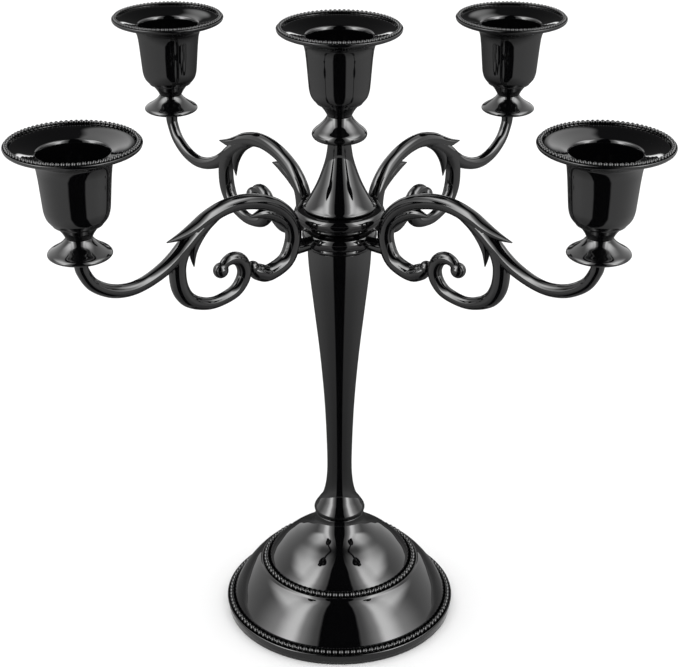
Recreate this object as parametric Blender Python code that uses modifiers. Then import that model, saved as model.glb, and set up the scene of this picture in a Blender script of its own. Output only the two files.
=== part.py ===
"""Five-light candelabrum in black enamel.

A hollow stepped base carries a trumpet-shaped column. On the column sit a hub ring, an upper
collar, a cone, a drip disc and the centre candle cup, all clamped by one tie rod. Four scroll arms
are screwed into the hub ring, and each carries a drip disc and a candle cup on a threaded stud.
The origin is on the column's axis, on the face that the candelabrum stands on.
"""

import math

import bmesh
import bpy
from mathutils import Matrix, Vector

MM = 0.001                     # every length below is in millimetres

# Driving dimensions
HEIGHT = 270.0                 # floor to the centre cup's rim
ARM_REACH = 123.2              # column axis to an arm cup's axis
ARM_CUP_RIM = 248.7            # height of an arm cup's rim
FRONT_ARM_TURN = 39.0          # front arms, degrees below the X axis
BACK_ARM_TURN = 51.0           # back arms, degrees above the X axis
GAP = 0.3                      # clearance between pieces that touch

BASE_RADIUS = 51.4
BASE_TOP = 47.7
STEM_TOP = 176.5
HUB_TOP = 185.0
COLLAR_TOP = 193.3
CONE_TOP = 222.7
CUP_HEIGHT = 36.7              # neck to rim
CUP_FLOOR = 28.0               # rim down to the face that the candle stands on

ROD_RADIUS = 2.5
STUD_RADIUS = 2.0
SCREW_RADIUS = 1.5
SPIGOT_RADIUS = 2.5
SPIGOT_HEIGHT = 181.2          # axis of the arm spigots in the hub ring
HUB_BORE = 10.0
ARM_END_HEIGHT = 203.6

OUTER_BEAD_RADIUS, OUTER_BEAD_HEIGHT, BASE_BEAD = 49.3, 5.2, 1.15
INNER_BEAD_RADIUS, INNER_BEAD_HEIGHT = 33.2, 23.95
CUP_BEAD_RADIUS, CUP_BEAD = 23.8, 0.75

BASE_SIDES = 28
STEM_SIDES = 16
CUP_SIDES = 16
DISC_SIDES = 12
ROD_SIDES = 8

ARM_HEADINGS = {
    "front_right": -FRONT_ARM_TURN,
    "front_left": 180.0 + FRONT_ARM_TURN,
    "back_right": BACK_ARM_TURN,
    "back_left": 180.0 - BACK_ARM_TURN,
}

FINISHES = {
    "enamel": ((0.010, 0.010, 0.011, 1.0), 0.08, 0.0),
    "zinc": ((0.55, 0.55, 0.56, 1.0), 0.35, 1.0),
    "felt": ((0.025, 0.025, 0.027, 1.0), 0.95, 0.0),
}


def clear_scene():
    for thing in list(bpy.data.objects):
        bpy.data.objects.remove(thing, do_unlink=True)


def collection(name):
    group = bpy.data.collections.new(name)
    bpy.context.scene.collection.children.link(group)
    return group


clear_scene()
PARTS = collection("candelabrum")
CUTTERS = collection("cutters")


def finish(piece, kind):
    colour, roughness, metallic = FINISHES[kind]
    material = bpy.data.materials.new(piece.name + "_" + kind)
    material.use_nodes = True
    shader = material.node_tree.nodes["Principled BSDF"]
    shader.inputs["Base Color"].default_value = colour
    shader.inputs["Roughness"].default_value = roughness
    shader.inputs["Metallic"].default_value = metallic
    piece.data.materials.clear()
    piece.data.materials.append(material)


def smooth(points, spans):
    """A Catmull-Rom curve through the points, each span cut into the given number of pieces."""
    ends = [points[0]] + list(points) + [points[-1]]
    curve = []
    for i in range(len(points) - 1):
        p0, p1, p2, p3 = (Vector(p) for p in ends[i:i + 4])
        for step in range(spans):
            t = step / spans
            curve.append(0.5 * ((2 * p1) + (p2 - p0) * t + (2 * p0 - 5 * p1 + 4 * p2 - p3) * t ** 2
                                + (3 * p1 - p0 - 3 * p2 + p3) * t ** 3))
    curve.append(Vector(points[-1]))
    return [tuple(p) for p in curve]


def turned(name, outside, inside, sides, kind, group=PARTS):
    """Turns a closed section: the outside runs from top to bottom, the inside back up to the top."""
    section = [Vector((radius * MM, 0.0, height * MM)) for radius, height in outside + inside]
    mesh = bpy.data.meshes.new(name)
    mesh.from_pydata(section, [(i, (i + 1) % len(section)) for i in range(len(section))], [])
    piece = bpy.data.objects.new(name, mesh)
    group.objects.link(piece)
    turn = piece.modifiers.new("Turn", "SCREW")
    turn.axis = "Z"
    turn.angle = math.tau
    turn.steps = turn.render_steps = sides
    turn.use_smooth_shade = True
    finish(piece, kind)
    return piece


def bar(name, radius, start, end, sides, kind, group=PARTS):
    """A round bar between two points."""
    start, end = Vector(start) * MM, Vector(end) * MM
    shape = bmesh.new()
    bmesh.ops.create_cone(shape, cap_ends=True, segments=sides, radius1=radius * MM,
                          radius2=radius * MM, depth=(end - start).length)
    turn = (end - start).to_track_quat("Z", "Y").to_matrix().to_4x4()
    shape.transform(Matrix.Translation((start + end) / 2) @ turn)
    mesh = bpy.data.meshes.new(name)
    shape.to_mesh(mesh)
    shape.free()
    piece = bpy.data.objects.new(name, mesh)
    group.objects.link(piece)
    finish(piece, kind)
    return piece


def hide_cutter(cutter):
    cutter.hide_render = True
    cutter.display_type = "WIRE"


def combine(piece, other, operation):
    """Joins the other shape to the piece or cuts it away, and leaves a plain mesh."""
    join = piece.modifiers.new("Combine", "BOOLEAN")
    join.operation = operation
    join.object = other
    evaluated = piece.evaluated_get(bpy.context.evaluated_depsgraph_get())
    mesh = bpy.data.meshes.new_from_object(evaluated)
    piece.modifiers.clear()
    piece.data = mesh
    bpy.data.objects.remove(other, do_unlink=True)


def as_mesh(curve, name):
    """A welded mesh object in place of a curve object."""
    evaluated = curve.evaluated_get(bpy.context.evaluated_depsgraph_get())
    mesh = bpy.data.meshes.new_from_object(evaluated)
    shape = bmesh.new()
    shape.from_mesh(mesh)
    bmesh.ops.remove_doubles(shape, verts=shape.verts, dist=0.00001)
    bmesh.ops.recalc_face_normals(shape, faces=shape.faces)
    shape.to_mesh(mesh)
    shape.free()
    piece = bpy.data.objects.new(name, mesh)
    piece.matrix_world = curve.matrix_world
    CUTTERS.objects.link(piece)
    bpy.data.objects.remove(curve, do_unlink=True)
    return piece


def strand(name, route, spans=2):
    """A round tapering bar through (reach, height, radius) points, in the arm's own plane."""
    curve = bpy.data.curves.new(name, "CURVE")
    curve.dimensions = "3D"
    curve.bevel_depth = MM
    curve.bevel_resolution = 1
    curve.use_fill_caps = True
    stations = smooth(route, spans)
    line = curve.splines.new("POLY")
    line.points.add(len(stations) - 1)
    for point, (reach, height, radius) in zip(line.points, stations):
        point.co = (reach * MM, 0.0, height * MM, 1.0)
        point.radius = radius
    holder = bpy.data.objects.new(name, curve)
    CUTTERS.objects.link(holder)
    return as_mesh(holder, name)


def leaf(name, outline, thickness):
    """A flat leaf in the arm's plane, cut to its outline."""
    curve = bpy.data.curves.new(name, "CURVE")
    curve.dimensions = "2D"
    curve.fill_mode = "BOTH"
    curve.extrude = thickness / 2 * MM
    line = curve.splines.new("POLY")
    line.use_cyclic_u = True
    line.points.add(len(outline) - 1)
    for point, (reach, height) in zip(line.points, outline):
        point.co = (reach * MM, height * MM, 0.0, 1.0)
    holder = bpy.data.objects.new(name, curve)
    holder.rotation_euler.x = math.pi / 2
    CUTTERS.objects.link(holder)
    bpy.context.view_layer.update()
    return as_mesh(holder, name)


def lift(section, height):
    return [(radius, height + z) for radius, z in section]


# --- base ---------------------------------------------------------------------------------------

def make_base():
    dome = smooth([(10.8, BASE_TOP), (12.2, 44.0), (16.5, 40.0), (23.5, 36.0), (29.0, 31.0),
                   (31.6, 25.3)], 1)
    tier = smooth([(35.3, 22.3), (38.6, 19.2), (43.5, 14.6), (46.4, 10.6), (47.9, 7.3)], 1)
    inner_channel = [(31.7, 22.5), (34.7, 22.5), (34.7, 23.2), (35.2, 23.0)]
    outer_channel = [(47.8, 3.75), (50.8, 3.75), (50.8, 5.1), (BASE_RADIUS, 4.8)]
    outside = dome + inner_channel + tier + outer_channel + [(BASE_RADIUS - 0.6, 0.0)]
    foot = [(49.4, 0.0), (49.4, 1.6), (44.0, 1.6), (44.0, 3.0), (46.0, 3.0)]
    hollow = [(46.0, 6.8), (41.8, 13.8), (36.4, 18.4), (33.2, 20.9), (30.2, 20.9), (30.1, 24.9),
              (27.6, 30.2), (22.7, 34.5), (15.4, 38.4), (10.4, 42.4), (8.6, 44.7)]
    rod_hole = [(ROD_RADIUS + GAP + 0.1, 44.7), (ROD_RADIUS + GAP + 0.1, BASE_TOP)]
    turned("base_shell", outside, foot + hollow + rod_hole, BASE_SIDES, "enamel")

    bar("felt_pad", 49.0, (0, 0, 0), (0, 0, 1.3), BASE_SIDES, "felt")
    hole = ROD_RADIUS + GAP
    turned("base_washer", [(7.5, 44.4), (7.5, 43.1)], [(hole, 43.1), (hole, 44.4)], STEM_SIDES, "zinc")
    nut = bar("base_nut", 4.9, (0, 0, 38.6), (0, 0, 42.8), 6, "zinc")
    cutter = bar("nut_hole", hole, (0, 0, 36), (0, 0, 46), STEM_SIDES, "zinc", CUTTERS)
    hide_cutter(cutter)
    combine(nut, cutter, "DIFFERENCE")


def bead_wire(name, ring_radius, wire_radius, centre, sides):
    """A beaded wire bent into a ring, as its plain envelope."""
    bpy.ops.mesh.primitive_torus_add(major_radius=ring_radius * MM, minor_radius=wire_radius * MM,
                                     major_segments=sides, minor_segments=4,
                                     location=Vector(centre) * MM)
    piece = bpy.context.active_object
    piece.name = name
    for owner in list(piece.users_collection):
        owner.objects.unlink(piece)
    PARTS.objects.link(piece)
    piece.data.shade_smooth()
    finish(piece, "enamel")
    return piece


# --- column -------------------------------------------------------------------------------------

def make_column():
    hole = ROD_RADIUS + GAP + 0.1
    foot = BASE_TOP + GAP
    outside = smooth([(13.4, STEM_TOP), (12.6, 163.5), (10.8, 147.5), (8.3, 125.0), (6.4, 101.0),
                      (5.45, 76.0), (5.75, 64.5), (7.2, 57.0), (9.7, 52.8), (11.2, 50.0),
                      (10.6, foot)], 1)
    inside = [(hole, foot), (hole, 104.0), (6.2, 129.0), (10.2, 163.0), (10.9, STEM_TOP)]
    turned("stem", outside, inside, STEM_SIDES, "enamel")

    foot = HUB_TOP + GAP
    outside = [(16.8, COLLAR_TOP), (18.2, 192.4), (18.8, 190.8), (18.3, 189.5), (16.2, 188.1),
               (15.0, 187.4), (14.6, 186.1), (13.2, foot)]
    inside = [(11.0, foot), (11.0, 190.0), (hole, 190.0), (hole, COLLAR_TOP)]
    turned("upper_collar", outside, inside, STEM_SIDES, "enamel")

    foot = COLLAR_TOP + GAP
    outside = smooth([(4.8, CONE_TOP), (5.55, 215.4), (7.0, 210.3), (9.3, 204.0), (13.0, 196.9),
                      (15.0, 194.3), (14.6, foot)], 1)
    inside = [(11.5, foot), (4.6, 205.0), (hole, 211.0), (hole, CONE_TOP)]
    turned("upper_cone", outside, inside, STEM_SIDES, "enamel")

    rod_top = HEIGHT - CUP_FLOOR - GAP
    bar("tie_rod", ROD_RADIUS, (0, 0, 36.5), (0, 0, rod_top), ROD_SIDES, "zinc")


def make_hub_ring():
    foot = STEM_TOP + GAP
    outside = [(12.5, HUB_TOP), (12.7, 184.2), (14.3, 182.5), (14.9, 180.6), (14.3, 178.9),
               (14.1, 178.3), (14.2, 177.5), (13.6, foot)]
    ring = turned("hub_ring", outside, [(HUB_BORE, foot), (HUB_BORE, HUB_TOP)], STEM_SIDES, "enamel")
    for place, heading in ARM_HEADINGS.items():
        away = Vector((math.cos(math.radians(heading)), math.sin(math.radians(heading)), 0.0))
        level = Vector((0.0, 0.0, SPIGOT_HEIGHT))
        drill = bar("hub_drill_" + place, SPIGOT_RADIUS + GAP, away * 6 + level, away * 20 + level,
                    ROD_SIDES, "enamel", CUTTERS)
        hide_cutter(drill)
        combine(ring, drill, "DIFFERENCE")


# --- arms ---------------------------------------------------------------------------------------

def make_arm_mesh():
    """One arm, lying in the XZ plane with the column's axis at X = 0."""
    arm = strand("arm_blank", [
        (43.8, 178.9, 2.6), (36.0, 173.9, 3.1), (28.0, 176.9, 3.4), (24.4, 184.7, 3.4),
        (24.8, 191.6, 3.4), (27.5, 196.6, 3.3), (32.0, 201.0, 3.2), (38.0, 204.4, 3.2),
        (45.0, 206.6, 3.2), (51.7, 207.5, 3.3), (58.5, 207.0, 3.4), (66.0, 204.6, 3.5),
        (72.0, 200.6, 3.6), (77.0, 196.1, 3.4), (82.0, 192.0, 3.1), (88.0, 188.5, 2.9),
        (96.0, 185.6, 2.7), (103.5, 184.8, 2.7), (111.5, 186.6, 2.7), (118.8, 191.3, 2.6),
        (122.6, 197.5, 2.6), (ARM_REACH, ARM_END_HEIGHT - 2.5, 2.8),
        (ARM_REACH, ARM_END_HEIGHT, 3.1)])
    lower_scroll = strand("lower_scroll", [
        (75.0, 198.4, 2.0), (79.6, 190.9, 3.2), (80.6, 185.3, 3.5), (80.0, 178.9, 3.4),
        (77.0, 173.7, 3.1), (71.5, 170.1, 2.7), (64.0, 168.3, 2.4), (54.5, 169.8, 2.5),
        (49.6, 173.9, 2.6), (48.0, 178.4, 2.7), (49.7, 183.4, 2.3), (53.4, 186.0, 1.9),
        (57.2, 185.7, 1.8), (59.7, 182.8, 1.8)])
    combine(arm, lower_scroll, "UNION")

    bud = bmesh.new()
    bmesh.ops.create_uvsphere(bud, u_segments=10, v_segments=8, radius=3.3 * MM)
    bmesh.ops.translate(bud, verts=bud.verts, vec=Vector((60.4, 0.0, 181.5)) * MM)
    mesh = bpy.data.meshes.new("bud")
    bud.to_mesh(mesh)
    bud.free()
    ball = bpy.data.objects.new("bud", mesh)
    CUTTERS.objects.link(ball)
    combine(arm, ball, "UNION")

    outer_leaf = [(57.0, 209.8), (65.0, 208.1), (72.8, 203.6), (79.0, 200.8), (85.0, 199.4),
                  (81.0, 196.9), (75.0, 197.4), (64.0, 204.0)]
    inner_leaf = [(64.0, 203.0), (70.3, 197.5), (72.6, 192.2), (72.7, 186.4), (75.8, 188.8),
                  (79.0, 191.4), (76.0, 198.4)]
    back_leaf = [(26.3, 189.0), (30.2, 194.0), (35.0, 198.0), (40.0, 200.2), (45.9, 201.0),
                 (43.4, 203.2), (44.0, 205.8), (34.0, 201.8), (26.3, 195.0)]
    for name, outline in (("outer_leaf", outer_leaf), ("inner_leaf", inner_leaf),
                          ("back_leaf", back_leaf)):
        combine(arm, leaf(name, outline, 3.4), "UNION")

    spigot = bar("spigot", SPIGOT_RADIUS, (10.5, 0, SPIGOT_HEIGHT), (24.5, 0, SPIGOT_HEIGHT),
                 ROD_SIDES, "enamel", CUTTERS)
    combine(arm, spigot, "UNION")
    screw_hole = bar("screw_hole", SCREW_RADIUS + GAP, (8.0, 0, SPIGOT_HEIGHT),
                     (18.6, 0, SPIGOT_HEIGHT), ROD_SIDES, "enamel", CUTTERS)
    combine(arm, screw_hole, "DIFFERENCE")
    stud_hole = bar("stud_hole", STUD_RADIUS + GAP, (ARM_REACH, 0, ARM_END_HEIGHT - 6.0),
                    (ARM_REACH, 0, ARM_END_HEIGHT + 6.0), ROD_SIDES, "enamel", CUTTERS)
    combine(arm, stud_hole, "DIFFERENCE")

    mesh = arm.data
    bpy.data.objects.remove(arm, do_unlink=True)
    mesh.shade_smooth()
    mesh.set_sharp_from_angle(angle=math.radians(40))
    return mesh


def make_arms():
    shared = make_arm_mesh()
    for place, heading in ARM_HEADINGS.items():
        arm = bpy.data.objects.new("arm_" + place, shared.copy())
        arm.rotation_euler.z = math.radians(heading)
        PARTS.objects.link(arm)
        finish(arm, "enamel")
        screw = bar("arm_screw_" + place, SCREW_RADIUS, (9.0, 0, SPIGOT_HEIGHT),
                    (18.0, 0, SPIGOT_HEIGHT), ROD_SIDES, "zinc")
        head = bar("screw_head", 3.2, (7.0, 0, SPIGOT_HEIGHT), (9.2, 0, SPIGOT_HEIGHT),
                   ROD_SIDES, "zinc", CUTTERS)
        combine(screw, head, "UNION")
        screw.rotation_euler.z = math.radians(heading)
    bpy.data.meshes.remove(shared)


# --- drip discs and candle cups -----------------------------------------------------------------

# Sections as (radius, height above the cup's rim)
CENTRE_DISC = [(5.0, -37.0), (5.8, -38.5), (8.1, -41.0), (10.8, -43.7), (11.3, -45.0), (10.6, -46.2),
               (8.5, -47.0)]
ARM_DISC = [(4.9, -37.0), (5.8, -38.4), (8.3, -40.7), (11.5, -42.7), (12.1, -43.6), (11.5, -44.4),
            (9.0, -44.8)]
CUP_OUTSIDE = [(25.0, 0.0), (25.2, -0.4), (25.2, -1.6), (24.6, -2.9), (17.0, -5.6), (14.4, -7.4),
               (13.7, -10.0), (12.9, -19.2), (12.3, -25.6), (11.3, -29.2), (9.2, -31.6), (8.6, -32.3),
               (6.3, -34.3), (5.3, -36.7)]
CUP_INSIDE = [(10.4, -CUP_FLOOR), (11.0, -25.4), (12.4, -9.0), (12.7, -5.4), (14.4, -3.5),
              (22.7, -1.2), (22.7, -1.85), (24.85, -1.85), (24.85, -0.1)]


def make_cup(place, rim_height, stud_radius, disc_section):
    """A drip disc, a candle cup and its beaded rim, with their shared axis on the Z axis."""
    hole = stud_radius + GAP
    disc_hole = [(hole, disc_section[-1][1]), (hole, disc_section[0][1])]
    disc = turned("drip_disc_" + place, lift(disc_section, rim_height), lift(disc_hole, rim_height),
                  DISC_SIDES, "enamel")
    boss = [(hole, -CUP_HEIGHT), (hole, -CUP_FLOOR)]
    cup = turned("cup_" + place, lift(CUP_OUTSIDE, rim_height), lift(boss + CUP_INSIDE, rim_height),
                 CUP_SIDES, "enamel")
    beads = bead_wire("cup_beads_" + place, CUP_BEAD_RADIUS, CUP_BEAD,
                      (0, 0, rim_height - CUP_BEAD), CUP_SIDES)
    return disc, cup, beads


def make_cups():
    make_cup("centre", HEIGHT, ROD_RADIUS, CENTRE_DISC)
    for place, heading in ARM_HEADINGS.items():
        turn = math.radians(heading)
        axis = Vector((math.cos(turn), math.sin(turn), 0.0)) * ARM_REACH * MM
        stud_top = ARM_CUP_RIM - CUP_FLOOR - GAP
        stud = bar("cup_stud_" + place, STUD_RADIUS, (0, 0, ARM_END_HEIGHT - 5.7), (0, 0, stud_top),
                   ROD_SIDES, "zinc")
        for piece in (stud,) + make_cup(place, ARM_CUP_RIM, STUD_RADIUS, ARM_DISC):
            piece.location = piece.location + axis


make_base()
bead_wire("outer_bead_wire", OUTER_BEAD_RADIUS, BASE_BEAD, (0, 0, OUTER_BEAD_HEIGHT), BASE_SIDES)
bead_wire("inner_bead_wire", INNER_BEAD_RADIUS, BASE_BEAD, (0, 0, INNER_BEAD_HEIGHT), BASE_SIDES)
make_column()
make_hub_ring()
make_arms()
make_cups()
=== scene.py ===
"""Looks of the five-light candelabrum: gloss black enamel over turned and cast metal."""

import math

import bpy
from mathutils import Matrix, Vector


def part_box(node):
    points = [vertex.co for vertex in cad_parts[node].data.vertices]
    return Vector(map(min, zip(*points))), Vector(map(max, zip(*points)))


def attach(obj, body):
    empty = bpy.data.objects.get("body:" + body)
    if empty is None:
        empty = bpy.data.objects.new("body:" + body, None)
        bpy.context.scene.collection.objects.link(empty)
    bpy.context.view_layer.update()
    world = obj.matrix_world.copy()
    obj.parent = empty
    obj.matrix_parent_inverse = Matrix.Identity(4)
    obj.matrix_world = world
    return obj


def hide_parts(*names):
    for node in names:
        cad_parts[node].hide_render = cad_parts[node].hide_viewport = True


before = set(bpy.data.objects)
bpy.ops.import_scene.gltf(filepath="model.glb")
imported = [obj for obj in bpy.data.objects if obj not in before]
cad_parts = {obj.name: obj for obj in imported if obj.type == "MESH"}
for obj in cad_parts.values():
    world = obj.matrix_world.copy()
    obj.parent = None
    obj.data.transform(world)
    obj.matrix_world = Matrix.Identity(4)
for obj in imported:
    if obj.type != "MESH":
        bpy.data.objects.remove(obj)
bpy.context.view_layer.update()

MM = 0.001                       # sections and routes below are in millimetres
PLACES = ("front_left", "front_right", "back_left", "back_right")
CUP_PLACES = ("centre",) + PLACES

TURNED_SIDES = 128               # faces round a turned piece
BASE_SIDES = 192
ARM_SIDES = 20
ROUND_EDGE = 0.18                # radius on the enamel's edges
FINE_EDGE = 0.1                  # the same on small mouldings
EDGE_ANGLE = math.radians(32)    # edges sharper than this are rounded
SMOOTH_ANGLE = math.radians(38)
BEAD_SMOOTH_ANGLE = math.radians(60)
WELD = 0.000002                  # metres: points closer than this are one

ROD_HOLE = 2.9                   # radius of the way through the column for the tie rod
CUP_ROD_HOLE = 2.8               # the same in the centre cup and its disc
CUP_STUD_HOLE = 2.3              # hole for the stud in an arm cup and its disc

ARM_FLATNESS = 0.94              # an arm's thickness over its width
SPIGOT_HEIGHT = 181.2            # axis of an arm's root in the hub
CUP_REACH = 123.2                # column's axis to an arm cup's axis
ARM_TOP = 203.6                  # where an arm ends, under its disc

BEAD_LENGTH = 1.06               # a bead's length along the ring over its width
WIRE_SHARE = 0.42                # the wire's radius over a bead's
BASE_BEAD_GROWTH = 1.08          # beads over the plain rings that they stand for
RIM_BEAD_GROWTH = 1.12
OUTER_BEADS, INNER_BEADS, RIM_BEADS = 117, 81, 80

WHITE = (1.0, 1.0, 1.0, 1.0)
BLACK = (0.0, 0.0, 0.0, 1.0)
TENT_LIGHT = 1.3                 # strength of the plain tent that lights the floor


# --- modelling helpers ----------------------------------------------------------------------------

def select_only(piece):
    bpy.ops.object.select_all(action="DESELECT")
    piece.select_set(True)
    bpy.context.view_layer.objects.active = piece


def start_edit(piece):
    select_only(piece)
    bpy.ops.object.mode_set(mode="EDIT")
    bpy.ops.mesh.select_all(action="SELECT")


def end_edit():
    bpy.ops.object.mode_set(mode="OBJECT")


def named(name):
    """Names the primitive that was just added."""
    piece = bpy.context.active_object
    piece.name = piece.data.name = name
    return piece


def settle(piece):
    """Leaves the object at the origin, unturned, with its place in its mesh."""
    select_only(piece)
    bpy.ops.object.transform_apply(location=True, rotation=True, scale=True)


def close_up(piece):
    """Merges the seam and points all faces outwards."""
    start_edit(piece)
    bpy.ops.mesh.remove_doubles(threshold=WELD)
    bpy.ops.mesh.normals_make_consistent(inside=False)
    end_edit()


def round_edges(piece, width):
    select_only(piece)
    edge = piece.modifiers.new("Edge", "BEVEL")
    edge.width = width * MM
    edge.segments = 3
    edge.limit_method = "ANGLE"
    edge.angle_limit = EDGE_ANGLE
    edge.use_clamp_overlap = True
    bpy.ops.object.modifier_apply(modifier=edge.name)


def shade(piece, angle=SMOOTH_ANGLE):
    select_only(piece)
    bpy.ops.object.shade_smooth_by_angle(angle=angle)


def curve(points, spans):
    """A smooth curve through the points, each span cut into the given number of pieces."""
    ends = [points[0]] + list(points) + [points[-1]]
    stations = []
    for i in range(len(points) - 1):
        p0, p1, p2, p3 = (Vector(p) for p in ends[i:i + 4])
        for step in range(spans):
            t = step / spans
            stations.append(0.5 * (2 * p1 + (p2 - p0) * t
                                   + (2 * p0 - 5 * p1 + 4 * p2 - p3) * t ** 2
                                   + (3 * p1 - p0 - 3 * p2 + p3) * t ** 3))
    stations.append(Vector(points[-1]))
    return [tuple(p) for p in stations]


def turn(name, section, centre=(0.0, 0.0), sides=TURNED_SIDES, edge=ROUND_EDGE):
    """A turned piece: a circle extruded ring by ring round its closed (radius, height) section."""
    x, y = centre
    radius, height = section[0]
    bpy.ops.object.select_all(action="DESELECT")
    bpy.ops.mesh.primitive_circle_add(vertices=sides, radius=radius * MM,
                                      location=(x, y, height * MM))
    piece = named(name)
    start_edit(piece)
    for next_radius, next_height in section[1:] + section[:1]:
        bpy.ops.mesh.extrude_region_move(
            TRANSFORM_OT_translate={"value": (0.0, 0.0, (next_height - height) * MM)})
        growth = next_radius / radius
        bpy.ops.transform.resize(value=(growth, growth, 1.0),
                                 center_override=(x, y, next_height * MM))
        radius, height = next_radius, next_height
    end_edit()
    settle(piece)
    close_up(piece)
    round_edges(piece, edge)
    shade(piece)
    return piece


def heading(direction):
    """Angle from straight up, towards +X, of a direction in the arm's plane."""
    return math.atan2(direction[0], direction[1])


def strand(name, route, spans=6):
    """A tapering bar: a circle extruded station by station through (reach, height, radius)."""
    stations = curve(route, spans)
    ahead = [Vector(b[:2]) - Vector(a[:2]) for a, b in zip(stations, stations[1:])]
    corners = [a.normalized() + b.normalized() for a, b in zip(ahead, ahead[1:])]
    slopes = [ahead[0]] + corners + [ahead[-1]]
    angles = [heading(slope) for slope in slopes]
    reach, height, radius = stations[0]
    bpy.ops.object.select_all(action="DESELECT")
    bpy.ops.mesh.primitive_circle_add(vertices=ARM_SIDES, radius=radius * MM, fill_type="NGON",
                                      location=(reach * MM, 0.0, height * MM),
                                      rotation=(0.0, angles[0], 0.0))
    piece = named(name)
    start_edit(piece)
    bpy.ops.transform.resize(value=(1.0, ARM_FLATNESS, 1.0))
    for i in range(1, len(stations)):
        step = [(b - a) * MM for a, b in zip(stations[i - 1], stations[i])]
        here = (stations[i][0] * MM, 0.0, stations[i][1] * MM)
        bpy.ops.mesh.extrude_region_move(TRANSFORM_OT_translate={"value": (step[0], 0.0, step[1])})
        turn_by = (angles[i] - angles[i - 1] + math.pi) % math.tau - math.pi
        bpy.ops.transform.rotate(value=-turn_by, orient_axis="Y", center_override=here)
        growth = stations[i][2] / stations[i - 1][2]
        bpy.ops.transform.resize(value=(growth, growth, growth), center_override=here)
    end_edit()
    settle(piece)
    close_up(piece)
    return piece


def unite(piece, other):
    """Makes one body of the two, and uses up the other."""
    select_only(piece)
    join = piece.modifiers.new("Join", "BOOLEAN")
    join.operation = "UNION"
    join.object = other
    bpy.ops.object.modifier_apply(modifier=join.name)
    bpy.data.objects.remove(other, do_unlink=True)


def own_copy(piece, name):
    copy = piece.copy()
    copy.data = piece.data.copy()
    copy.name = copy.data.name = name
    bpy.context.scene.collection.objects.link(copy)
    return copy


def bead_ring(name, ring_radius, bead_radius, count, height, centre=(0.0, 0.0)):
    """A ring of beads strung on a thin wire: one bead, then copies spun round the axis."""
    x, y = centre
    bpy.ops.object.select_all(action="DESELECT")
    bpy.ops.mesh.primitive_uv_sphere_add(segments=8, ring_count=6, radius=bead_radius * MM,
                                         location=(x + ring_radius * MM, y, height * MM))
    piece = named(name)
    start_edit(piece)
    bpy.ops.transform.resize(value=(1.0, BEAD_LENGTH, 1.0))
    bpy.ops.mesh.spin(steps=count, dupli=True, angle=math.tau, axis=(0.0, 0.0, 1.0),
                      center=(x, y, height * MM))
    bpy.ops.mesh.select_all(action="SELECT")
    bpy.ops.mesh.remove_doubles(threshold=WELD)
    end_edit()
    settle(piece)
    bpy.ops.object.select_all(action="DESELECT")
    bpy.ops.mesh.primitive_torus_add(major_radius=ring_radius * MM,
                                     minor_radius=bead_radius * WIRE_SHARE * MM,
                                     major_segments=count, minor_segments=8,
                                     location=(x, y, height * MM))
    wire = named(name + "_wire")
    settle(wire)
    piece.select_set(True)
    bpy.context.view_layer.objects.active = piece
    bpy.ops.object.join()
    close_up(piece)
    shade(piece, BEAD_SMOOTH_ANGLE)
    return piece


# --- materials ------------------------------------------------------------------------------------

def new_material(name):
    material = bpy.data.materials.new(name)
    material.use_nodes = True
    nodes, links = material.node_tree.nodes, material.node_tree.links
    return material, nodes, links, nodes["Principled BSDF"]


def noise(nodes, links, place, scale, detail, roughness=0.5):
    texture = nodes.new("ShaderNodeTexNoise")
    texture.inputs["Scale"].default_value = scale
    texture.inputs["Detail"].default_value = detail
    texture.inputs["Roughness"].default_value = roughness
    links.new(place.outputs["Object"], texture.inputs["Vector"])
    return texture


def spread(nodes, links, source, low, high, from_low=0.3, from_high=0.7):
    """Maps a pattern's value to the range that a socket needs."""
    span = nodes.new("ShaderNodeMapRange")
    span.inputs["From Min"].default_value = from_low
    span.inputs["From Max"].default_value = from_high
    span.inputs["To Min"].default_value = low
    span.inputs["To Max"].default_value = high
    links.new(source, span.inputs["Value"])
    return span.outputs["Result"]


def blend_colours(nodes, links, factor, dark, light):
    mix = nodes.new("ShaderNodeMix")
    mix.data_type = "RGBA"
    links.new(factor, mix.inputs["Factor"])
    mix.inputs["A"].default_value = dark
    mix.inputs["B"].default_value = light
    return mix.outputs["Result"]


def bump(nodes, links, height, strength, distance):
    node = nodes.new("ShaderNodeBump")
    node.inputs["Strength"].default_value = strength
    node.inputs["Distance"].default_value = distance
    links.new(height, node.inputs["Height"])
    return node


def black_enamel():
    """Stoved black enamel: deep gloss, a faint flow ripple and a haze that varies a little."""
    material, nodes, links, shader = new_material("black_enamel")
    place = nodes.new("ShaderNodeTexCoord")
    haze = noise(nodes, links, place, 45.0, 4.0)
    ripple = noise(nodes, links, place, 420.0, 2.0)
    colour = blend_colours(nodes, links, haze.outputs["Fac"], (0.0008, 0.0008, 0.0010, 1.0),
                           (0.0022, 0.0022, 0.0025, 1.0))
    links.new(colour, shader.inputs["Base Color"])
    links.new(spread(nodes, links, haze.outputs["Fac"], 0.012, 0.035), shader.inputs["Roughness"])
    links.new(bump(nodes, links, ripple.outputs["Fac"], 0.05, 0.00005).outputs["Normal"],
              shader.inputs["Normal"])
    shader.inputs["IOR"].default_value = 1.5
    return material


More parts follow.
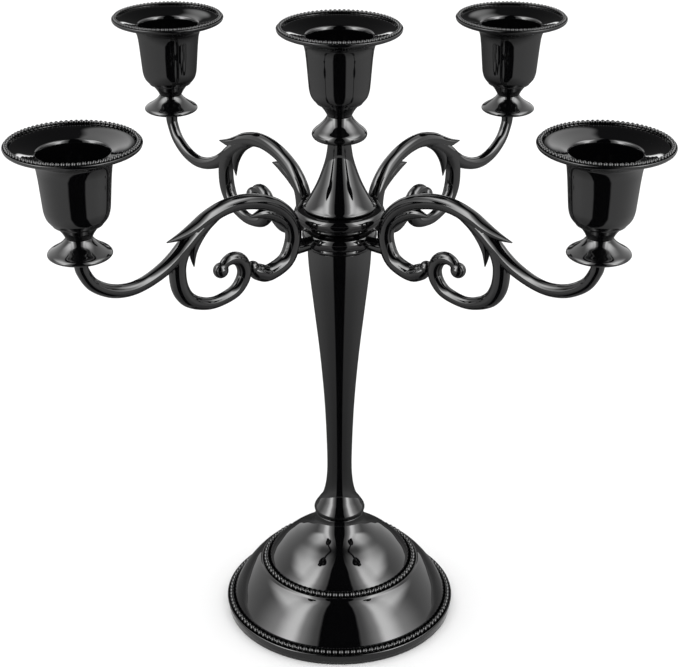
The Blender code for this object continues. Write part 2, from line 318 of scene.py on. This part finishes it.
def zinc_plate():
    """Dark zinc on turned steel, with fine rings from the tool and a dull bloom."""
    material, nodes, links, shader = new_material("zinc_plate")
    place = nodes.new("ShaderNodeTexCoord")
    bloom = noise(nodes, links, place, 160.0, 5.0)
    rings = nodes.new("ShaderNodeTexWave")
    rings.bands_direction = "Z"
    rings.inputs["Scale"].default_value = 900.0
    rings.inputs["Distortion"].default_value = 1.5
    links.new(place.outputs["Object"], rings.inputs["Vector"])
    colour = blend_colours(nodes, links, bloom.outputs["Fac"], (0.085, 0.088, 0.092, 1.0),
                           (0.150, 0.154, 0.160, 1.0))
    links.new(colour, shader.inputs["Base Color"])
    links.new(spread(nodes, links, bloom.outputs["Fac"], 0.26, 0.46), shader.inputs["Roughness"])
    links.new(bump(nodes, links, rings.outputs["Fac"], 0.2, 0.00004).outputs["Normal"],
              shader.inputs["Normal"])
    shader.inputs["Metallic"].default_value = 1.0
    return material


def black_felt():
    """Pressed wool felt: matt, mottled and fibrous."""
    material, nodes, links, shader = new_material("black_felt")
    place = nodes.new("ShaderNodeTexCoord")
    mottle = noise(nodes, links, place, 110.0, 6.0)
    fibres = noise(nodes, links, place, 1500.0, 8.0, 0.75)
    colour = blend_colours(nodes, links, mottle.outputs["Fac"], (0.012, 0.012, 0.013, 1.0),
                           (0.040, 0.040, 0.043, 1.0))
    links.new(colour, shader.inputs["Base Color"])
    links.new(spread(nodes, links, fibres.outputs["Fac"], 0.85, 1.0), shader.inputs["Roughness"])
    links.new(bump(nodes, links, fibres.outputs["Fac"], 0.9, 0.0003).outputs["Normal"],
              shader.inputs["Normal"])
    shader.inputs["Sheen Weight"].default_value = 0.3
    return material


ENAMEL = black_enamel()
ZINC = zinc_plate()
FELT = black_felt()


def wear(piece, material):
    piece.data.materials.clear()
    piece.data.materials.append(material)


def fit(piece, body, slot, *nodes):
    """Says what the piece rides on, what it is finished in and which nodes it stands for."""
    wear(piece, {"enamel": ENAMEL, "zinc": ZINC, "felt": FELT}[slot])
    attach(piece, body)
    if nodes:
        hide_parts(*nodes)
    return piece


def axis_of(node):
    """The upright axis of a round node, and its highest point in millimetres."""
    low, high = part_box(node)
    return ((low.x + high.x) / 2, (low.y + high.y) / 2), high.z / MM


def raised(section, height):
    return [(radius, height + z) for radius, z in section]


def levels_of(node):
    """The lowest and highest points of a node, in millimetres."""
    low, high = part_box(node)
    return low.z / MM, high.z / MM


def bead_sizes(node):
    """The ring's radius, the bead's radius and the height of a node that stands for beads."""
    low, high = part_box(node)
    bead = (high.z - low.z) / 2 / MM
    return (high.x - low.x) / 2 / MM - bead, bead, (low.z + high.z) / 2 / MM


# --- base -----------------------------------------------------------------------------------------

def make_base():
    """The stepped bell: skirt, beaded channel, lower tier, second beaded channel and dome."""
    _, top = levels_of("base_shell")
    dome = curve([(10.6, top), (11.3, 44.8), (13.2, 41.5), (16.5, 38.6), (20.5, 36.0), (24.5, 33.0),
                  (28.0, 29.6), (30.3, 26.9), (31.4, 25.2)], 6)
    inner_channel = [(31.6, 24.4), (31.8, 22.9), (34.5, 22.8), (34.7, 23.6), (35.2, 23.5)]
    tier = curve([(35.7, 22.7), (38.0, 20.8), (40.6, 18.0), (43.7, 13.9), (46.4, 9.5),
                  (47.8, 6.8)], 6)
    outer_channel = [(47.9, 6.0), (48.0, 4.2), (50.6, 4.1), (50.8, 4.7), (51.1, 4.9), (51.4, 4.6)]
    skirt = curve([(51.4, 4.4), (51.1, 2.2), (50.8, 0.0)], 4)
    foot = [(49.4, 0.0), (49.4, 1.6), (44.0, 1.6), (44.0, 3.0), (46.0, 3.0)]
    hollow = [(45.6, 6.4), (41.6, 12.0), (38.0, 16.6), (34.8, 20.2), (33.2, 20.9), (30.2, 20.9),
              (29.6, 23.6), (28.2, 25.4), (25.4, 28.0), (21.4, 31.2), (16.6, 34.8), (12.6, 38.4),
              (10.0, 41.8), (8.6, top - 3.0)]
    hole = [(ROD_HOLE, top - 3.0), (ROD_HOLE, top)]
    section = dome + inner_channel + tier + outer_channel + skirt + foot + hollow + hole
    fit(turn("base_bell", section, sides=BASE_SIDES), "column", "enamel", "base_shell")

    for node, name, count in (("outer_bead_wire", "outer_beads", OUTER_BEADS),
                              ("inner_bead_wire", "inner_beads", INNER_BEADS)):
        ring, bead, height = bead_sizes(node)
        beads = bead_ring(name, ring, bead * BASE_BEAD_GROWTH, count, height)
        fit(beads, "column", "enamel", node)


# --- column ---------------------------------------------------------------------------------------

def make_column():
    """The trumpet stem, and above it the hub, collar and cone that turn with the arms."""
    low, high = levels_of("stem")
    outside = curve([(13.4, high), (13.2, 171.0), (12.6, 163.5), (10.8, 147.5), (8.3, 125.0),
                     (6.4, 101.0), (5.45, 76.0), (5.75, 64.5), (7.2, 57.0), (9.4, 53.2),
                     (11.0, 50.6), (11.2, 49.3), (10.5, low)], 6)
    inside = curve([(ROD_HOLE, low), (ROD_HOLE, 104.0), (6.2, 129.0), (10.2, 163.0),
                    (10.9, high)], 3)
    fit(turn("trumpet_stem", outside + inside), "column", "enamel", "stem")

    low, high = levels_of("hub_ring")
    outside = curve([(12.6, high), (13.4, 184.6), (14.9, 183.5), (15.6, 181.8), (15.4, 180.1),
                     (14.6, 178.9)], 6)
    rib = curve([(14.7, 178.6), (14.9, 178.0), (14.6, 177.4), (13.6, low)], 3)
    section = outside + rib + [(10.0, low), (10.0, high)]
    fit(turn("hub", section, edge=FINE_EDGE), "branches", "enamel", "hub_ring")

    low, high = levels_of("upper_collar")
    ledge = [(ROD_HOLE, high), (17.2, high)]
    nose = curve([(17.9, 193.1), (18.7, 192.0), (18.8, 190.7), (18.1, 189.2), (16.6, 188.1)], 6)
    neck = curve([(16.4, 187.8), (16.5, 187.4), (16.2, 187.0), (13.8, 186.5), (12.9, low)], 3)
    section = ledge + nose + neck + [(11.0, low), (11.0, 190.0), (ROD_HOLE, 190.0)]
    fit(turn("collar", section, edge=FINE_EDGE), "branches", "enamel", "upper_collar")

    low, high = levels_of("upper_cone")
    outside = curve([(4.8, high), (4.85, 220.4), (5.6, 215.2), (7.0, 210.2), (9.3, 204.0),
                     (12.1, 198.4), (13.9, 195.6), (14.9, 194.5), (15.0, 194.1), (14.6, low)], 6)
    section = outside + [(11.5, low), (4.6, 205.0), (ROD_HOLE, 211.0), (ROD_HOLE, high)]
    fit(turn("cone", section), "branches", "enamel", "upper_cone")


# --- scroll arms ----------------------------------------------------------------------------------

MAIN_SCROLL = [                  # reach, height and radius, from the nose round to the long leaf
    (45.2, 178.6, 2.3), (44.0, 177.0, 3.0), (41.8, 175.4, 3.5), (36.8, 173.8, 3.5),
    (28.2, 177.0, 3.5), (24.4, 184.7, 3.5), (24.8, 191.6, 3.5), (27.5, 196.6, 3.4),
    (32.0, 201.0, 3.3), (38.0, 204.4, 3.2), (45.0, 206.6, 3.2), (51.7, 207.5, 3.2),
    (58.5, 207.0, 3.2), (66.0, 204.9, 3.1), (72.5, 202.0, 2.7), (78.5, 200.3, 1.7),
    (85.2, 199.4, 0.25)]
BRANCHES = {
    "cup_branch": [
        (57.0, 205.8, 1.6), (63.5, 204.4, 2.4), (70.5, 200.8, 3.0), (77.0, 195.9, 3.3),
        (82.0, 192.0, 3.1), (88.0, 188.5, 2.9), (96.0, 185.6, 2.7), (103.5, 184.8, 2.7),
        (111.5, 186.6, 2.7), (118.8, 191.3, 2.6), (122.6, 197.5, 2.6),
        (CUP_REACH, ARM_TOP - 2.5, 2.8), (CUP_REACH, ARM_TOP, 3.1)],
    "lower_scroll": [
        (66.0, 202.6, 1.4), (71.6, 199.6, 2.4), (77.3, 195.0, 3.1), (80.2, 190.0, 3.4),
        (80.9, 185.0, 3.5), (80.0, 178.9, 3.5), (77.0, 173.7, 3.2), (71.5, 170.1, 2.7),
        (64.0, 168.3, 2.5), (54.9, 170.0, 2.7), (50.4, 173.9, 2.9), (49.1, 178.4, 3.0),
        (50.9, 182.9, 2.9), (54.4, 184.8, 2.6), (57.8, 184.1, 2.2), (59.6, 181.9, 2.0)],
    "inner_leaf": [
        (60.0, 204.6, 1.2), (66.5, 201.6, 2.0), (71.0, 197.4, 2.2), (73.3, 192.4, 1.7),
        (73.1, 186.2, 0.25)],
    "hub_leaf": [
        (25.4, 189.0, 1.4), (28.6, 193.8, 2.1), (33.0, 197.7, 2.6), (38.8, 200.1, 2.3),
        (45.9, 200.0, 0.25)],
}
SPIGOT = [(10.5, SPIGOT_HEIGHT, 2.5), (15.5, SPIGOT_HEIGHT, 2.8), (19.0, SPIGOT_HEIGHT, 3.0),
          (24.0, 181.6, 3.4)]
END_BALLS = {"bud": (60.5, 181.2, 3.2), "nose": (44.9, 178.2, 2.8)}


def make_end_ball(name, reach, height, radius):
    bpy.ops.object.select_all(action="DESELECT")
    bpy.ops.mesh.primitive_uv_sphere_add(segments=24, ring_count=16, radius=radius * MM,
                                         location=(reach * MM, 0.0, height * MM))
    ball = named(name)
    start_edit(ball)
    bpy.ops.transform.resize(value=(1.0, ARM_FLATNESS, 1.0))
    end_edit()
    settle(ball)
    return ball


def make_first_arm():
    """One arm, lying in the XZ plane with the column's axis at X = 0."""
    arm = strand("scroll_blank", MAIN_SCROLL)
    for name, route in BRANCHES.items():
        unite(arm, strand(name, route))
    for name, (reach, height, radius) in END_BALLS.items():
        unite(arm, make_end_ball(name, reach, height, radius))
    unite(arm, strand("spigot", SPIGOT, spans=4))
    shade(arm)
    return arm


def make_arms():
    blank = make_first_arm()
    for place in PLACES:
        (x, y), _ = axis_of("cup_" + place)
        arm = own_copy(blank, "scroll_arm_" + place)
        arm.rotation_euler.z = math.atan2(y, x)
        settle(arm)
        fit(arm, "branches", "enamel", "arm_" + place)
    bpy.data.objects.remove(blank, do_unlink=True)


# --- drip discs and cups --------------------------------------------------------------------------

def make_discs():
    """The flared discs under the cups: a tall one in the centre, four flatter ones on the arms."""
    tall = curve([(5.0, -37.0), (5.6, -38.2), (6.9, -39.9), (8.8, -41.8), (10.7, -43.5),
                  (11.3, -44.8), (10.9, -46.0), (9.8, -46.8), (8.3, -47.0)], 5)
    flat = curve([(4.9, -37.0), (5.5, -38.0), (7.0, -39.6), (9.3, -41.3), (11.4, -42.6),
                  (12.1, -43.5), (11.8, -44.2), (10.8, -44.7), (8.8, -44.8)], 5)
    for place in CUP_PLACES:
        centre, rim = axis_of("cup_" + place)
        outside, hole = (tall, CUP_ROD_HOLE) if place == "centre" else (flat, CUP_STUD_HOLE)
        section = raised(outside + [(hole, outside[-1][1]), (hole, -37.0)], rim)
        disc = turn("wax_pan_" + place, section, centre)
        body = "column" if place == "centre" else "branches"
        fit(disc, body, "enamel", "drip_disc_" + place)


def make_cups():
    """The candle cups, with heights measured from the rim, and the beads round their brims."""
    lip = [(24.75, -1.1), (24.9, -0.9), (25.2, -1.1)]
    brim_under = curve([(25.2, -1.4), (24.4, -2.6), (20.5, -4.0), (17.0, -5.3), (14.9, -7.0),
                        (14.1, -8.8)], 4)
    wall = curve([(13.75, -10.5), (13.3, -14.5), (12.9, -19.2), (12.5, -24.0), (12.2, -26.6),
                  (11.5, -28.9), (10.3, -30.6), (9.5, -31.3)], 5)
    neck = [(9.4, -31.8)] + curve([(8.4, -32.0), (7.7, -32.8), (6.4, -34.5), (5.5, -36.0),
                                   (5.2, -36.7)], 4)
    floor = [(10.0, -28.0), (10.9, -27.2)]
    bore = curve([(11.1, -25.4), (12.9, -10.5), (13.25, -5.6)], 4)
    throat = curve([(13.45, -4.5), (13.8, -4.1), (14.3, -3.9)], 3)
    brim = curve([(15.6, -3.5), (18.0, -2.8), (20.6, -2.0), (22.6, -1.55)], 3)
    channel = [(22.8, -2.0), (24.6, -2.0)]
    for place in CUP_PLACES:
        centre, rim = axis_of("cup_" + place)
        hole = CUP_ROD_HOLE if place == "centre" else CUP_STUD_HOLE
        outside = lip + brim_under + wall + neck
        section = outside + [(hole, -36.7), (hole, -28.0)] + floor + bore + throat + brim + channel
        cup = turn("candle_cup_" + place, raised(section, rim), centre, edge=FINE_EDGE)
        body = "centre_cup" if place == "centre" else "cup_body_" + place
        fit(cup, body, "enamel", "cup_" + place)

        ring, bead, height = bead_sizes("cup_beads_" + place)
        beads = bead_ring("rim_beads_" + place, ring, bead * RIM_BEAD_GROWTH, RIM_BEADS, height,
                          centre)
        fit(beads, body, "enamel", "cup_beads_" + place)


# --- the pieces that stay as the frame has them ---------------------------------------------------

def finish_fittings():
    """Zinc on the hidden rod, screws and studs, and felt on the pad."""
    steel = ["base_washer", "base_nut", "tie_rod"]
    steel += [name + place for name in ("arm_screw_", "cup_stud_") for place in PLACES]
    for node in steel:
        wear(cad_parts[node], ZINC)
    wear(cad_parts["felt_pad"], FELT)


# --- studio ---------------------------------------------------------------------------------------

def make_floor():
    """A wide pale floor without an edge in sight, just under the foot."""
    bpy.ops.object.select_all(action="DESELECT")
    bpy.ops.mesh.primitive_plane_add(size=24.0, location=(0.0, 0.0, -0.0002))
    floor = named("studio_floor")
    start_edit(floor)
    bpy.ops.mesh.subdivide(number_cuts=3)
    end_edit()
    settle(floor)
    material, nodes, links, shader = new_material("white_sweep")
    place = nodes.new("ShaderNodeTexCoord")
    cloud = noise(nodes, links, place, 3.0, 2.0)
    colour = blend_colours(nodes, links, cloud.outputs["Fac"], (0.88, 0.88, 0.88, 1.0),
                           (0.91, 0.91, 0.91, 1.0))
    links.new(colour, shader.inputs["Base Color"])
    shader.inputs["Roughness"].default_value = 0.9
    shader.inputs["Specular IOR Level"].default_value = 0.0
    wear(floor, material)


def math_of(nodes, links, operation, *values):
    """A Math node on sockets or plain numbers."""
    node = nodes.new("ShaderNodeMath")
    node.operation = operation
    for socket, value in zip(node.inputs, values):
        if isinstance(value, (int, float)):
            socket.default_value = value
        else:
            links.new(value, socket)
    return node.outputs["Value"]


def ramp(nodes, links, source, start, end, low, high):
    """Rises smoothly from low to high as the source goes from start to end."""
    span = nodes.new("ShaderNodeMapRange")
    span.interpolation_type = "SMOOTHSTEP"
    span.inputs["From Min"].default_value = start
    span.inputs["From Max"].default_value = end
    span.inputs["To Min"].default_value = low
    span.inputs["To Max"].default_value = high
    links.new(source, span.inputs["Value"])
    return span.outputs["Result"]


def compass(nodes, links, vector):
    """The angle away from the front, either way round, of a direction or a place."""
    axes = nodes.new("ShaderNodeSeparateXYZ")
    links.new(vector, axes.inputs["Vector"])
    side = math_of(nodes, links, "ABSOLUTE", axes.outputs["X"])
    front = math_of(nodes, links, "MULTIPLY", axes.outputs["Y"], -1.0)
    return math_of(nodes, links, "ARCTAN2", side, front), axes.outputs["Z"]


def make_lights():
    """A plain white tent for the floor, and a panelled one that only the gloss shows.

    The panelled tent is dark to the front and has tall soft boxes at each side of the dark part.
    """
    world = bpy.data.worlds.new("tent")
    bpy.context.scene.world = world
    world.use_nodes = True
    nodes, links = world.node_tree.nodes, world.node_tree.links
    direction = nodes.new("ShaderNodeTexCoord")
    round_angle, sine = compass(nodes, links, direction.outputs["Generated"])
    height = math_of(nodes, links, "ARCSINE", sine)

    def around(start, end, low, high):
        return ramp(nodes, links, round_angle, math.radians(start), math.radians(end), low, high)

    def above(start, end, low, high):
        return ramp(nodes, links, height, math.radians(start), math.radians(end), low, high)

    def times(*values):
        total = values[0]
        for value in values[1:]:
            total = math_of(nodes, links, "MULTIPLY", total, value)
        return total

    def plus(*values):
        total = values[0]
        for value in values[1:]:
            total = math_of(nodes, links, "ADD", total, value)
        return total

    def panel(strength, inner, outer, foot, top):
        """Grows over the inner angles and the foot, and fades over the outer angles and the top."""
        return times(around(*inner, 0.0, strength), around(*outer, 1.0, 0.0),
                     above(*foot, 0.0, 1.0), above(*top, 1.0, 0.0))

    walls = times(around(20.0, 24.0, 0.0, 1.0), around(90.0, 150.0, 1.1, 1.35),
                  around(161.0, 166.0, 1.0, 0.04), above(60.0, 82.0, 1.0, 0.0))
    slit = times(around(170.0, 174.0, 0.0, 2.8), above(3.0, 5.0, 0.0, 1.0),
                 above(8.0, 11.0, 1.0, 0.0))
    boxes = panel(4.3, inner=(24.0, 50.0), outer=(55.0, 100.0), foot=(-8.0, 0.0), top=(34.0, 88.0))
    cores = panel(6.2, inner=(40.0, 50.0), outer=(52.0, 72.0), foot=(-6.0, 2.0), top=(46.0, 74.0))
    wings = panel(7.0, inner=(56.0, 76.0), outer=(84.0, 130.0), foot=(26.0, 40.0), top=(50.0, 68.0))

    tent = nodes["Background"]
    tent.inputs["Color"].default_value = WHITE
    links.new(plus(walls, slit, boxes, cores, wings), tent.inputs["Strength"])
    plain = nodes.new("ShaderNodeBackground")
    plain.inputs["Color"].default_value = WHITE
    plain.inputs["Strength"].default_value = TENT_LIGHT
    rays = nodes.new("ShaderNodeLightPath")
    either = nodes.new("ShaderNodeMixShader")
    links.new(rays.outputs["Is Glossy Ray"], either.inputs["Fac"])
    links.new(plain.outputs["Background"], either.inputs[1])
    links.new(tent.outputs["Background"], either.inputs[2])
    links.new(either.outputs["Shader"], nodes["World Output"].inputs["Surface"])


def make_table_card():
    """A card round the foot that only reflections show: dark to the front, pale at the sides."""
    near, far = 0.052, 4.0
    bpy.ops.object.select_all(action="DESELECT")
    bpy.ops.mesh.primitive_circle_add(vertices=64, radius=near, location=(0.0, 0.0, 0.0004))
    card = named("table_card")
    start_edit(card)
    bpy.ops.mesh.extrude_region_move(TRANSFORM_OT_translate={"value": (0.0, 0.0, 0.0)})
    bpy.ops.transform.resize(value=(far / near, far / near, 1.0))
    end_edit()
    settle(card)
    card.visible_camera = False
    card.visible_diffuse = False
    card.visible_shadow = False
    material, nodes, links, shader = new_material("table_card")
    place = nodes.new("ShaderNodeTexCoord")
    angle, _ = compass(nodes, links, place.outputs["Object"])
    reach = nodes.new("ShaderNodeVectorMath")
    reach.operation = "LENGTH"
    links.new(place.outputs["Object"], reach.inputs[0])
    outward = ramp(nodes, links, reach.outputs["Value"], 0.08, 0.42, 0.38, 0.95)
    sides = ramp(nodes, links, angle, math.radians(20.0), math.radians(26.0), 0.0, 1.0)
    edge = ramp(nodes, links, reach.outputs["Value"], 0.060, 0.070, 1.5, 0.0)
    front = math_of(nodes, links, "MAXIMUM", sides, edge)
    back = ramp(nodes, links, angle, math.radians(70.0), math.radians(165.0), 1.0, 0.12)
    shader.inputs["Base Color"].default_value = BLACK
    shader.inputs["Specular IOR Level"].default_value = 0.0
    shader.inputs["Emission Color"].default_value = WHITE
    round_shade = math_of(nodes, links, "MULTIPLY", front, back)
    links.new(math_of(nodes, links, "MULTIPLY", round_shade, outward),
              shader.inputs["Emission Strength"])
    wear(card, material)


def make_camera():
    """A long lens in front of the piece, looking down on it."""
    camera = bpy.data.cameras.new("camera")
    camera.lens = 90.33
    camera.sensor_width = 36.0
    holder = bpy.data.objects.new("camera", camera)
    holder.location = (0.0, -0.6582, 0.4486)
    holder.rotation_euler = (math.radians(90.0 - 25.45), 0.0, 0.0)
    bpy.context.scene.collection.objects.link(holder)
    bpy.context.scene.camera = holder
    bpy.context.scene.view_settings.view_transform = "Standard"


make_base()
make_column()
make_arms()
make_discs()
make_cups()
finish_fittings()
make_floor()
make_table_card()
make_lights()
make_camera()

bpy.context.view_layer.update()
